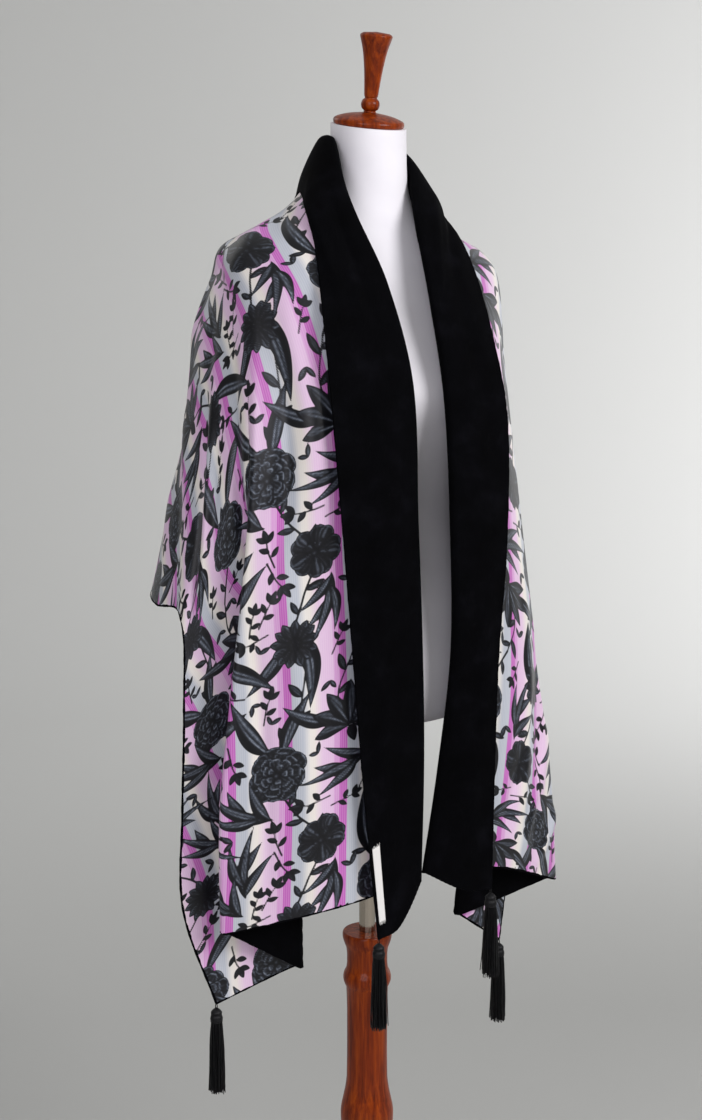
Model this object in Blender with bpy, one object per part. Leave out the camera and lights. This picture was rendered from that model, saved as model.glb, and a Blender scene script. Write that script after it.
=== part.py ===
"""An evening stole of printed silk backed with black velvet, worn round the neck of a dress form.

Units are metres, +Z is up, the form faces -Y, and the origin is the middle of the base's
underside. The form's own right is -X. The drape table is in millimetres.

The stole is one long rectangle. Its upper long edge is turned outwards along a fold, so that a
velvet band shows. A section runs across the cloth from the band's free edge over the fold and
round to the lower long edge, and the sections follow each other from the right front hem over
the nape to the left front hem.
"""

import math

import bmesh
import bpy
import numpy as np
from mathutils import Matrix, Vector

MM = 0.001
SEAM_GAP = 0.3 * MM

# The stole: cloth, fold and pleats
SILK_WALL = 1.0 * MM
VELVET_WALL = 1.2 * MM
LAYER_GAP = 0.3 * MM
STRETCH_GAP = 0.8
FOLD_GAP = 9.0
SETTLED_STEP = 42.0
SETTLED_SHARE = 0.42
STRETCH_ENDS = (-979.0, -230.0, 230.0, 979.0)
STRETCH_NAMES = ("right_front", "back", "left_front")
STRETCH_ROWS = (12, 14, 12)
COLUMN_STEPS = (2, 3, 4, 3, 3, 4, 3, 4, 3)
SHORTEST_FIRST = 1.5

# The drape, in mm. Each row is one section, placed by its distance along the fold from the nape:
# the band's edge, the fold, the chest or shoulder, the outer pleat fold, the inner pleat fold and
# the lower edge, each as X, Y and Z, then how far the pleat is closed, from 0 to 1, and how far
# the middle of the band sags.
# along  band edge         fold              chest             outer fold        inner fold        lower edge    pleat, sag
DRAPE = (
    (-979, (-82, -162, 645), (-22, -152, 696), (-125, -140, 683), (-240, -98, 661), (-139, -80, 594), (-236, -58, 563), 1, 14),
    (-829, (-99, -160, 812), (-20, -152, 845), (-128, -140, 825), (-240, -100, 795), (-145, -84, 760), (-272, -50, 680), 1, 0),
    (-699, (-111, -158, 955), (-22, -150, 975), (-126, -140, 950), (-227, -100, 920), (-158, -84, 897), (-270, -48, 790), 1, 0),
    (-561, (-124, -157, 1105), (-32, -155, 1118), (-122, -143, 1085), (-211, -102, 1060), (-176, -84, 1048), (-265, -46, 903), 1, 0),
    (-412, (-136, -153, 1250), (-37, -150, 1267), (-130, -139, 1235), (-197, -99, 1207), (-206, -76, 1180), (-259, -30, 1012), 0.4, 0),
    (-300, (-134, -131, 1345), (-55, -125, 1375), (-128, -112, 1366), (-184, -74, 1338), (-210, -32, 1272), (-262, 30, 1016), 0, 0),
    (-213, (-122, -94, 1413), (-72, -85, 1450), (-130, -72, 1424), (-185, -33, 1401), (-207, 15, 1310), (-243, 82, 1022), 0, 0),
    (-172, (-112, -58, 1452), (-73, -60, 1484), (-118, -34, 1447), (-177, 5, 1419), (-198, 45, 1322), (-207, 112, 1033), 0, 0),
    (-109, (-87, 4, 1478), (-59, -8, 1532), (-96, 12, 1463), (-164, 48, 1411), (-181, 84, 1302), (-144, 140, 1036), 0, 0),
    (-74, (-70, 46, 1470), (-52, 23, 1537), (-77, 40, 1456), (-130, 80, 1380), (-132, 112, 1286), (-97, 152, 1040), 0, 0),
    (-36, (-42, 82, 1456), (-31, 48, 1535), (-40, 64, 1446), (-68, 102, 1348), (-68, 127, 1260), (-47, 160, 1040), 0, 0),
    (0, (0, 94, 1450), (0, 58, 1532), (0, 74, 1440), (0, 112, 1342), (0, 135, 1255), (0, 163, 1040), 0, 0),
    (36, (42, 82, 1456), (31, 48, 1533), (40, 64, 1446), (66, 102, 1348), (66, 127, 1260), (47, 160, 1040), 0, 0),
    (74, (74, 44, 1466), (53.2, 19.7, 1528), (74, 40, 1454), (116, 82, 1374), (122, 112, 1285), (93, 151, 1040), 0, 0),
    (109, (83, -7, 1468), (55.4, -14.8, 1508), (86, 8, 1454), (146, 48, 1400), (160, 85, 1300), (132, 138, 1036), 0, 0),
    (172, (79, -60, 1436), (34, -55, 1473), (87, -38, 1432), (157, 3, 1409), (172, 48, 1315), (168, 110, 1034), 0, 0),
    (213, (83, -92, 1394), (20, -87, 1434), (90, -72, 1404), (151, -42, 1384), (170, 10, 1290), (190, 80, 1024), 0, 0),
    (300, (84, -130, 1320), (9, -130, 1360), (86, -112, 1330), (137, -76, 1302), (158, -38, 1248), (203, 28, 1010), 0, 0),
    (412, (94, -148, 1225), (16, -152, 1250), (88, -132, 1225), (138, -97, 1195), (150, -74, 1170), (204, -26, 998), 0.4, 0),
    (561, (91, -155, 1082), (23, -157, 1100), (92, -140, 1075), (158, -101, 1042), (134, -84, 1030), (198, -50, 900), 1, 0),
    (699, (80, -157, 948), (28, -153, 962), (102, -139, 935), (181, -98, 905), (108, -86, 880), (190, -58, 790), 1, 0),
    (829, (76, -158, 815), (14, -150, 832), (105, -138, 805), (204, -94, 770), (98, -82, 745), (172, -60, 680), 1, 0),
    (979, (74, -158, 675), (-6, -147, 704), (100, -137, 690), (217, -90, 640), (84, -80, 616), (152, -66, 566), 1, 8),
)

# The dress form. Each row: height, half width, half depth and the centre's Y, in mm.
TORSO = (
    (872, 128, 106, -2),
    (878, 132, 110, -2),
    (930, 137, 111, -2),
    (1000, 129, 103, -2),
    (1070, 115, 90, -2),
    (1115, 111, 86, -2),
    (1160, 117, 92, -4),
    (1210, 130, 104, -8),
    (1250, 137, 112, -11),
    (1290, 138, 106, -8),
    (1340, 141, 93, -1),
    (1385, 142, 80, 4),
    (1408, 134, 70, 5),
    (1424, 112, 62, 5),
    (1438, 84, 55, 4),
    (1453, 62, 50, 2),
    (1474, 49, 46, 1),
    (1500, 44.5, 44.5, 0),
    (1553, 43.5, 43.5, 0),
)
TORSO_SIDES = 32
NECK_TILT = math.radians(10)
NECK_TOP = 1.553
TILT_FROM = 1.46

# The turned parts, each as radius and height rows in mm
CAP = ((0, 0), (39.5, 0), (41, 2), (41, 6), (38, 8.5), (26, 12.5), (12, 14.5), (8, 15), (0, 15))
FINIAL = (
    (0, 15.3), (7.5, 15.3), (6.5, 17), (10, 19.5), (11, 24), (10, 28.5), (6.5, 31), (8, 33),
    (8.5, 40), (10.5, 62), (14, 84), (18.5, 98), (18.5, 100.5), (15, 102.5), (0, 104),
)
ROD_RADIUS = 10 * MM
POST = (
    (0, 42.3), (46, 42.3), (47, 48), (40, 56), (31, 70), (27, 100), (27, 150), (31, 300), (33, 340),
    (33, 352), (29.5, 368), (27, 380), (25, 398), (25, 512), (28.5, 518), (30, 525), (28.5, 532),
    (25, 538), (25, 562), (29, 572), (30.5, 578), (30.5, 583), (29, 585), (0, 585),
)
BASE = ((0, 0), (176, 0), (180, 4), (180, 16), (174, 23), (120, 31), (70, 37), (56, 42), (0, 42))
TURNED_SIDES = 20

# Tassels, one at each corner of the cloth
LOOP_RADIUS = 1.0 * MM
LOOP_LENGTH = 6 * MM
TASSEL_GAP = 0.4 * MM
TASSEL_HEAD = ((1.5, 0), (4.5, -1.5), (6.8, -4.5), (5.6, -7), (7.0, -9.5), (7.2, -13), (6.0, -15.5))
TASSEL_LENGTH = 106 * MM
TASSEL_GRID = 5
STRAND_SHARE = 0.62
STRAND_FLARE = 1.75

# The blank woven label on the velvet, beside the band's free edge
LABEL_ALONG = (-962.0, -884.0)
LABEL_ACROSS = (0.05, 0.34)
LABEL_WALL = 1.0 * MM


def spline(points, places, place):
    """The points at a place on a smooth curve that passes through them at their own places."""
    last = len(places) - 1
    span = min(max(int(np.searchsorted(places, place, side="right")) - 1, 0), last - 1)
    before, after = max(span - 1, 0), min(span + 2, last)
    length = places[span + 1] - places[span]
    step = (place - places[span]) / length
    reach_a = places[span + 1] - places[before]
    reach_b = places[after] - places[span]
    slope_a = (points[span + 1] - points[before]) / reach_a * length
    slope_b = (points[after] - points[span]) / reach_b * length
    step2, step3 = step * step, step * step * step
    return (
        points[span] * (2 * step3 - 3 * step2 + 1)
        + slope_a * (step3 - 2 * step2 + step)
        + points[span + 1] * (3 * step2 - 2 * step3)
        + slope_b * (step3 - step2)
    )


def towards(start, end, distance):
    """A step from start to end, of this length but no more than a set share of the way."""
    whole = np.linalg.norm(end - start)
    return (end - start) * min(distance / whole, SETTLED_SHARE)


def section_knots(row):
    """The ten points that a section passes through, from the band's edge to the lower edge."""
    band, fold, chest, outer, inner, lower = (np.array(p, float) for p in row[1:7])
    closed, sag = row[7:]
    away = np.array((fold[0], fold[1], 0.0))
    away /= np.linalg.norm(away)
    inwards = np.array((0.0, 1.0, 0.0))
    outer_in = outer + closed * FOLD_GAP * inwards + (1 - closed) * towards(outer, inner, SETTLED_STEP)
    inner_in = inner + closed * FOLD_GAP * inwards + (1 - closed) * towards(inner, lower, SETTLED_STEP)
    band_middle = 0.55 * band + 0.45 * fold + 4.0 * away - (0.0, 0.0, sag)
    return np.array((
        band, band_middle, fold, fold - FOLD_GAP * away, chest, outer, outer_in, inner, inner_in, lower,
    ))


DRAPE_PLACES = np.array([row[0] for row in DRAPE], float)
DRAPE_KNOTS = np.array([section_knots(row) for row in DRAPE])


def section(along):
    """The section's knots and their places across it, as shares of its ten points."""
    knots = spline(DRAPE_KNOTS, DRAPE_PLACES, along)
    chords = np.sqrt(np.linalg.norm(np.diff(knots, axis=0), axis=1))
    return knots, np.concatenate(([0.0], np.cumsum(chords)))


def drape(along, across):
    """The cloth's middle surface in metres; across counts knots, from 0 at the band's edge to 9."""
    knots, places = section(along)
    place = np.interp(across, np.arange(len(places)), places)
    return spline(knots, places, place) * MM


def silk_normal(along, across):
    """The unit normal on the printed side."""
    here = min(max(along, -978.0), 978.0)
    there = min(max(across, 0.01), 8.99)
    by_along = drape(here + 1.0, there) - drape(here - 1.0, there)
    by_across = drape(here, there + 0.01) - drape(here, there - 0.01)
    normal = np.cross(by_along, by_across)
    return normal / np.linalg.norm(normal)


def across_columns():
    """The places across a section where the wall has a column, closer together beside its folds."""
    places = [0.0]
    for span, steps in enumerate(COLUMN_STEPS):
        for k in range(1, steps + 1):
            share = k / steps
            if span in (3, 6, 8):
                share = share ** SHORTEST_FIRST
            elif span in (1, 4):
                share = 1 - (1 - share) ** SHORTEST_FIRST
            places.append(span + share)
    return places


def new_object(name, bm, material, smooth=True):
    mesh = bpy.data.meshes.new(name)
    bm.to_mesh(mesh)
    bm.free()
    mesh.materials.append(material)
    if smooth:
        mesh.shade_smooth()
    thing = bpy.data.objects.new(name, mesh)
    bpy.context.scene.collection.objects.link(thing)
    return thing


def material(name, colour, roughness, metallic=0.0):
    made = bpy.data.materials.new(name)
    made.use_nodes = True
    shader = made.node_tree.nodes["Principled BSDF"]
    shader.inputs["Base Color"].default_value = (*colour, 1.0)
    shader.inputs["Roughness"].default_value = roughness
    shader.inputs["Metallic"].default_value = metallic
    return made


def wall(name, alongs, columns, heights, finish):
    """A closed wall over a stretch of the cloth, between two heights over its middle surface."""
    bm = bmesh.new()
    faces = []
    for height in heights:
        rows = []
        for along in alongs:
            points = [drape(along, c) + silk_normal(along, c) * height for c in columns]
            rows.append([bm.verts.new(point) for point in points])
        faces.append(rows)
    low, high = faces
    for rows, flip in ((low, True), (high, False)):
        for i in range(len(alongs) - 1):
            for j in range(len(columns) - 1):
                first, last = rows[i][j], rows[i + 1][j + 1]
                sides = (rows[i][j + 1], rows[i + 1][j]) if flip else (rows[i + 1][j], rows[i][j + 1])
                bm.faces.new((first, sides[0], last))
                bm.faces.new((first, last, sides[1]))
    rim_low = [*low[0], *(row[-1] for row in low[1:]), *low[-1][-2::-1], *(row[0] for row in low[-2:0:-1])]
    rim_high = [*high[0], *(row[-1] for row in high[1:]), *high[-1][-2::-1], *(row[0] for row in high[-2:0:-1])]
    count = len(rim_low)
    for k in range(count):
        after = (k + 1) % count
        bm.faces.new((rim_low[k], rim_high[k], rim_high[after], rim_low[after])[::-1])
    bmesh.ops.triangulate(bm, faces=bm.faces[:], quad_method="FIXED")
    bmesh.ops.recalc_face_normals(bm, faces=bm.faces[:])
    return new_object(name, bm, finish)


def stretch_alongs(index):
    """The section places of one stretch, ending half a seam gap short of its neighbour."""
    start, end = STRETCH_ENDS[index], STRETCH_ENDS[index + 1]
    start += STRETCH_GAP / 2 if index > 0 else 0.0
    end -= STRETCH_GAP / 2 if index < len(STRETCH_NAMES) - 1 else 0.0
    return np.linspace(start, end, STRETCH_ROWS[index] + 1)


def make_stole(silk, velvet):
    columns = across_columns()
    half = LAYER_GAP / 2
    for index, stretch in enumerate(STRETCH_NAMES):
        alongs = stretch_alongs(index)
        wall("silk_" + stretch, alongs, columns, (half, half + SILK_WALL), silk)
        wall("velvet_" + stretch, alongs, columns, (-half - VELVET_WALL, -half), velvet)


def turned(name, profile, sides, finish, place):
    """A solid of revolution about its own Z axis from radius and height rows in mm."""
    bm = bmesh.new()
    rings = []
    for radius, height in profile:
        if radius == 0:
            rings.append([bm.verts.new((0, 0, height * MM))])
            continue
        turns = [2 * math.pi * k / sides for k in range(sides)]
        rings.append([
            bm.verts.new((radius * MM * math.cos(t), radius * MM * math.sin(t), height * MM)) for t in turns
        ])
    for lower, upper in zip(rings, rings[1:]):
        for k in range(sides):
            n = (k + 1) % sides
            if len(lower) == 1:
                bm.faces.new((lower[0], upper[n], upper[k]))
            elif len(upper) == 1:
                bm.faces.new((lower[k], lower[n], upper[0]))
            else:
                bm.faces.new((lower[k], lower[n], upper[n], upper[k]))
    bmesh.ops.recalc_face_normals(bm, faces=bm.faces[:])
    thing = new_object(name, bm, finish)
    thing.data.set_sharp_from_angle(angle=math.radians(40))
    thing.matrix_world = place
    return thing


def torso_ring(height):
    """Half width, half depth and centre of the torso at a height in mm."""
    heights = np.array([row[0] for row in TORSO], float)
    return spline(np.array([row[1:] for row in TORSO], float), heights, height)


def make_torso(finish):
    bm = bmesh.new()
    rings = []
    for row in TORSO:
        half_width, half_depth, centre = torso_ring(float(row[0]))
        height = row[0] * MM
        tilted = min(max((height - TILT_FROM) / (NECK_TOP - TILT_FROM), 0.0), 1.0)
        ring = []
        for k in range(TORSO_SIDES):
            turn = 2 * math.pi * k / TORSO_SIDES
            x = half_width * MM * math.cos(turn)
            y = (centre + half_depth * math.sin(turn)) * MM
            ring.append(bm.verts.new((x, y, height + y * math.tan(NECK_TILT) * tilted)))
        rings.append(ring)
    for lower, upper in zip(rings, rings[1:]):
        for k in range(TORSO_SIDES):
            n = (k + 1) % TORSO_SIDES
            bm.faces.new((lower[k], lower[n], upper[n], upper[k]))
    bm.faces.new(rings[0][::-1])
    bm.faces.new(rings[-1])
    bmesh.ops.recalc_face_normals(bm, faces=bm.faces[:])
    torso = new_object("form_torso", bm, finish)
    torso.data.set_sharp_from_angle(angle=math.radians(50))
    return torso


def make_stand(wood, chrome):
    tilt = Matrix.Translation((0, 0, NECK_TOP + SEAM_GAP)) @ Matrix.Rotation(NECK_TILT, 4, "X")
    turned("neck_cap", CAP, TURNED_SIDES, wood, tilt)
    turned("neck_finial", FINIAL, TURNED_SIDES, wood, tilt)
    turned("stand_post", POST, TURNED_SIDES, wood, Matrix.Identity(4))
    turned("stand_base", BASE, TURNED_SIDES * 2, wood, Matrix.Identity(4))
    rod_low = POST[-1][1] * MM + SEAM_GAP
    rod_high = TORSO[0][0] * MM - SEAM_GAP
    rod = ((0, rod_low / MM), (ROD_RADIUS / MM, rod_low / MM), (ROD_RADIUS / MM, rod_high / MM), (0, rod_high / MM))
    turned("stand_rod", rod, 16, chrome, Matrix.Identity(4))


def disc_place(column, row, count, radius):
    """A point of a square grid moved onto a round disc."""
    a = 2 * column / count - 1
    b = 2 * row / count - 1
    return Vector((a * math.sqrt(1 - b * b / 2), b * math.sqrt(1 - a * a / 2), 0)) * radius


def make_tassel(name, corner, finish):
    """A loop, a bound head and a skirt of strands that hang from the head, as one body."""
    bm = bmesh.new()
    top_z = corner[2] - LOOP_LENGTH - TASSEL_GAP
    n = TASSEL_GRID
    radii = [(r * MM, h * MM) for r, h in TASSEL_HEAD]
    low_radius, low_z = radii[-1]
    grid = [[disc_place(i, j, n, low_radius) for j in range(n + 1)] for i in range(n + 1)]
    base = [[bm.verts.new(p + Vector((0, 0, low_z))) for p in line] for line in grid]
    floor = []
    for i in range(n):
        for j in range(n):
            floor.append(bm.faces.new((base[i][j], base[i][j + 1], base[i + 1][j + 1], base[i + 1][j])))
    rim = [(i, 0) for i in range(n)] + [(n, j) for j in range(n)]
    rim += [(i, n) for i in range(n, 0, -1)] + [(0, j) for j in range(n, 0, -1)]
    ring = [base[i][j] for i, j in rim]
    outline = [grid[i][j] / low_radius for i, j in rim]
    loop_rings = [(LOOP_RADIUS, 0.0), (LOOP_RADIUS, LOOP_LENGTH)]
    for radius, z in radii[-2::-1] + loop_rings:
        upper = [bm.verts.new(p * radius + Vector((0, 0, z))) for p in outline]
        for k in range(len(ring)):
            m = (k + 1) % len(ring)
            bm.faces.new((ring[k], ring[m], upper[m], upper[k]))
        ring = upper
    bm.faces.new(ring)
    bmesh.ops.recalc_face_normals(bm, faces=bm.faces[:])
    inset = min(face.calc_perimeter() for face in floor) / 4 * (1 - STRAND_SHARE) / 2
    bmesh.ops.inset_individual(bm, faces=floor, thickness=inset, use_even_offset=False)
    ends = bmesh.ops.extrude_discrete_faces(bm, faces=floor)["faces"]
    for index, face in enumerate(ends):
        middle = face.calc_center_median()
        drop = TASSEL_LENGTH * (0.94 + 0.06 * math.cos(2.4 * index)) + low_z
        for vert in face.verts:
            spread = middle * STRAND_FLARE
            vert.co = Vector((spread.x, spread.y, middle.z)) + (vert.co - middle) * 0.8 - Vector((0, 0, drop))
    bmesh.ops.translate(bm, verts=bm.verts[:], vec=Vector((corner[0], corner[1], top_z)))
    bmesh.ops.triangulate(bm, faces=bm.faces[:])
    return new_object(name, bm, finish)


def make_tassels(finish):
    corners = (
        ("tassel_right_lower", -979.0, 9.0),
        ("tassel_right_band", -979.0, 0.0),
        ("tassel_left_band", 979.0, 0.0),
        ("tassel_left_lower", 979.0, 9.0),
    )
    for name, along, across in corners:
        corner = drape(along, across)
        make_tassel(name, corner, finish)


def make_label(finish):
    """A thin blank strip that lies on the velvet of the turned band."""
    alongs = np.linspace(*LABEL_ALONG, 6)
    columns = np.linspace(*LABEL_ACROSS, 3)
    low = -(LAYER_GAP / 2 + VELVET_WALL + SEAM_GAP)
    wall("label", alongs, columns, (low - LABEL_WALL, low), finish)


def main():
    for thing in list(bpy.data.objects):
        bpy.data.objects.remove(thing)
    silk = material("printed silk satin", (0.55, 0.42, 0.52), 0.35)
    velvet = material("black silk velvet", (0.004, 0.004, 0.005), 0.9)
    cover = material("white jersey cover", (0.78, 0.77, 0.75), 0.8)
    wood = material("lacquered turned beech", (0.32, 0.08, 0.02), 0.25)
    chrome = material("chromed steel", (0.8, 0.8, 0.8), 0.12, 1.0)
    black_silk = material("black rayon tassel", (0.006, 0.006, 0.007), 0.55)
    woven = material("woven label", (0.75, 0.73, 0.68), 0.7)
    make_torso(cover)
    make_stand(wood, chrome)
    make_stole(silk, velvet)
    make_tassels(black_silk)
    make_label(woven)


main()
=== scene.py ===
"""The looks of an evening stole on a dress form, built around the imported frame.

The stole is one long rectangle of printed silk satin backed with black velvet, and its upper edge
is turned out as a shawl band. Every cloth surface is a grid laid on one drape, which is worked
out from a table of sections. Metres, +Z up, and the form faces -Y.
"""

import math

import bmesh
import bpy
import numpy as np
from mathutils import Matrix, Vector


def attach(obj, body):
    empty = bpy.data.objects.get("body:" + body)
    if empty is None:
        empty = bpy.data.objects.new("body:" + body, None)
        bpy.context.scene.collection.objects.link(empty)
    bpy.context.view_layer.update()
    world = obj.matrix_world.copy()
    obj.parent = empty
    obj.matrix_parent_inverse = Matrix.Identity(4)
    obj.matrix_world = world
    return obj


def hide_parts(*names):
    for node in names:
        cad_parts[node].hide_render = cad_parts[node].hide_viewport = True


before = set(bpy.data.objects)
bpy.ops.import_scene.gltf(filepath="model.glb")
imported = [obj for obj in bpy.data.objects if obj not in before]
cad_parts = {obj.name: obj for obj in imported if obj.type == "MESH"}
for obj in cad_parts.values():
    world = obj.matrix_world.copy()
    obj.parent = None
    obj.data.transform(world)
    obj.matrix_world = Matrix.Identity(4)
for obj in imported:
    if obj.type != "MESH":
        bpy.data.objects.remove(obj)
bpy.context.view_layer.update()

MM = 0.001
BODY = "root"

# The cloth as it was cut, and how far each side's face lies off the middle of the cloth
BAND_WIDTH = 0.09
SILK_FACE = 1.15 * MM
VELVET_FACE = -1.35 * MM

# Places along the fold, in mm either way from the nape, where the stretches of cloth meet and end
HEM = 979.0
CHEST = 560.0
SHOULDER = 230.0

# How a section runs through its knots, in mm: the gap inside a closed fold, how an open one
# settles, and the band's rise between its edge and its fold
FOLD_GAP = 9.0
SETTLED_STEP = 42.0
SETTLED_SHARE = 0.42
BAND_RISE = 4.0
FOLD_KNOT = 2.5
LAST_KNOT = 9
SAMPLES_PER_SPAN = 90

# Grid steps over the cloth, in mm. The printed side is finer: its print is held on its points.
PRINT_STEP = 1.7
NAPE_STEP = 1.95
PLAIN_STEP = 5.0

# The drape, in mm, as the part's source has it. Each row is one section across the cloth, placed
# by its distance along the fold from the nape.
# along, band's edge, fold, chest or shoulder,
# outer pleat fold, inner pleat fold, lower edge, how far the pleat is closed, the band's sag
DRAPE = (
    (-979, (-82, -162, 645), (-22, -152, 696), (-125, -140, 683),
     (-240, -98, 661), (-139, -80, 594), (-236, -58, 563), 1, 14),
    (-829, (-99, -160, 812), (-20, -152, 845), (-128, -140, 825),
     (-240, -100, 795), (-145, -84, 760), (-272, -50, 680), 1, 0),
    (-699, (-111, -158, 955), (-22, -150, 975), (-126, -140, 950),
     (-227, -100, 920), (-158, -84, 897), (-270, -48, 790), 1, 0),
    (-561, (-124, -157, 1105), (-32, -155, 1118), (-122, -143, 1085),
     (-211, -102, 1060), (-176, -84, 1048), (-265, -46, 903), 1, 0),
    (-412, (-136, -153, 1250), (-37, -150, 1267), (-130, -139, 1235),
     (-197, -99, 1207), (-206, -76, 1180), (-259, -30, 1012), 0.4, 0),
    (-300, (-134, -131, 1345), (-55, -125, 1375), (-128, -112, 1366),
     (-184, -74, 1338), (-210, -32, 1272), (-262, 30, 1016), 0, 0),
    (-213, (-122, -94, 1413), (-72, -85, 1450), (-130, -72, 1424),
     (-185, -33, 1401), (-207, 15, 1310), (-243, 82, 1022), 0, 0),
    (-172, (-112, -58, 1452), (-73, -60, 1484), (-118, -34, 1447),
     (-177, 5, 1419), (-198, 45, 1322), (-207, 112, 1033), 0, 0),
    (-109, (-87, 4, 1478), (-59, -8, 1532), (-96, 12, 1463),
     (-164, 48, 1411), (-181, 84, 1302), (-144, 140, 1036), 0, 0),
    (-74, (-70, 46, 1470), (-52, 23, 1537), (-77, 40, 1456),
     (-130, 80, 1380), (-132, 112, 1286), (-97, 152, 1040), 0, 0),
    (-36, (-42, 82, 1456), (-31, 48, 1535), (-40, 64, 1446),
     (-68, 102, 1348), (-68, 127, 1260), (-47, 160, 1040), 0, 0),
    (0, (0, 94, 1450), (0, 58, 1532), (0, 74, 1440),
     (0, 112, 1342), (0, 135, 1255), (0, 163, 1040), 0, 0),
    (36, (42, 82, 1456), (31, 48, 1533), (40, 64, 1446),
     (66, 102, 1348), (66, 127, 1260), (47, 160, 1040), 0, 0),
    (74, (74, 44, 1466), (53.2, 19.7, 1528), (74, 40, 1454),
     (116, 82, 1374), (122, 112, 1285), (93, 151, 1040), 0, 0),
    (109, (83, -7, 1468), (55.4, -14.8, 1508), (86, 8, 1454),
     (146, 48, 1400), (160, 85, 1300), (132, 138, 1036), 0, 0),
    (172, (79, -60, 1436), (34, -55, 1473), (87, -38, 1432),
     (157, 3, 1409), (172, 48, 1315), (168, 110, 1034), 0, 0),
    (213, (83, -92, 1394), (20, -87, 1434), (90, -72, 1404),
     (151, -42, 1384), (170, 10, 1290), (190, 80, 1024), 0, 0),
    (300, (84, -130, 1320), (9, -130, 1360), (86, -112, 1330),
     (137, -76, 1302), (158, -38, 1248), (203, 28, 1010), 0, 0),
    (412, (94, -148, 1225), (16, -152, 1250), (88, -132, 1225),
     (138, -97, 1195), (150, -74, 1170), (204, -26, 998), 0.4, 0),
    (561, (91, -155, 1082), (23, -157, 1100), (92, -140, 1075),
     (158, -101, 1042), (134, -84, 1030), (198, -50, 900), 1, 0),
    (699, (80, -157, 948), (28, -153, 962), (102, -139, 935),
     (181, -98, 905), (108, -86, 880), (190, -58, 790), 1, 0),
    (829, (76, -158, 815), (14, -150, 832), (105, -138, 805),
     (204, -94, 770), (98, -82, 745), (172, -60, 680), 1, 0),
    (979, (74, -158, 675), (-6, -147, 704), (100, -137, 690),
     (217, -90, 640), (84, -80, 616), (152, -66, 566), 1, 8),
)

# Soft creases, in mm over the cut: each runs between two places, given as the distance along the
# fold and the distance across from it. Its height is below zero in a trough.
# from along, across, to along, across, half width, height
CREASE_FADE = 0.8
CREASES = (
    (-262, 236, -458, 366, 15, 8.0),
    (-255, 268, -455, 392, 12, -6.0),
    (-250, 176, -640, 262, 16, 6.0),
    (-270, 200, -620, 292, 12, -5.0),
    (-960, 146, -520, 168, 13, 5.0),
    (-970, 192, -600, 206, 11, -4.6),
    (-940, 112, -700, 122, 12, -3.6),
    (-900, 60, -480, 84, 15, 3.6),
    (-560, 136, -250, 120, 16, 4.8),
    (-600, 180, -330, 150, 12, -4.4),
    (-470, 60, -260, 40, 14, -3.2),
    (-430, 330, -180, 205, 15, -3.0),
    (-470, 418, -150, 330, 22, 3.2),
    (-400, 452, -90, 340, 20, -2.4),
    (-330, 480, -60, 400, 20, 2.2),
    (-900, 400, -640, 380, 12, -4.4),
    (-960, 450, -700, 430, 11, 4.6),
    (-940, 490, -760, 476, 10, -3.4),
    (-200, 330, -120, 200, 15, 4.4),
    (-230, 150, -120, 80, 14, 4.0),
    (-215, 200, -100, 120, 12, -3.6),
    (-70, 480, -80, 210, 20, 7.0),
    (-25, 485, -12, 250, 17, -6.0),
    (38, 480, 30, 190, 22, 6.4),
    (92, 470, 80, 250, 16, -5.6),
    (150, 468, 128, 225, 18, 5.4),
    (330, 440, 160, 260, 16, 5.6),
    (430, 410, 190, 215, 15, -5.0),
    (560, 290, 260, 170, 14, 4.4),
    (960, 140, 560, 150, 13, 4.8),
    (960, 186, 640, 178, 11, -4.4),
    (960, 150, 750, 212, 11, 5.0),
    (930, 106, 720, 158, 10, -4.0),
    (966, 196, 850, 250, 9, 4.0),
    (840, 70, 600, 96, 12, -3.0),
    (930, 400, 680, 360, 12, 4.2),
    (-640, -78, -260, -60, 13, 2.4),
    (-340, -40, -140, -22, 8, 3.8),
    (-310, -70, -120, -50, 7, -3.4),
    (-250, -98, -80, -80, 8, 3.4),
    (240, -46, 500, -62, 12, 2.4),
    (100, -66, 270, -40, 8, 3.8),
    (130, -36, 300, -14, 7, -3.0),
    (-960, -60, -700, -75, 12, -2.0),
    (620, -40, 940, -52, 12, -2.0),
)

# The dress form, in mm
TORSO_LEVELS = 110
TORSO_SIDES = 105
# height, half width, half depth, the centre's Y
TORSO = (
    (872, 128, 106, -2),
    (878, 132, 110, -2),
    (930, 137, 111, -2),
    (1000, 129, 103, -2),
    (1070, 115, 90, -2),
    (1115, 111, 86, -2),
    (1160, 117, 92, -4),
    (1210, 130, 104, -8),
    (1250, 137, 112, -11),
    (1290, 138, 106, -8),
    (1340, 141, 93, -1),
    (1385, 142, 80, 4),
    (1408, 134, 70, 5),
    (1424, 112, 62, 5),
    (1438, 84, 55, 4),
    (1453, 62, 50, 2),
    (1474, 49, 46, 1),
    (1500, 44.5, 44.5, 0),
    (1553, 43.5, 43.5, 0),
)
NECK_TILT = math.radians(10)
NECK_TOP = 1.553
TILT_FROM = 1.46

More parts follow.
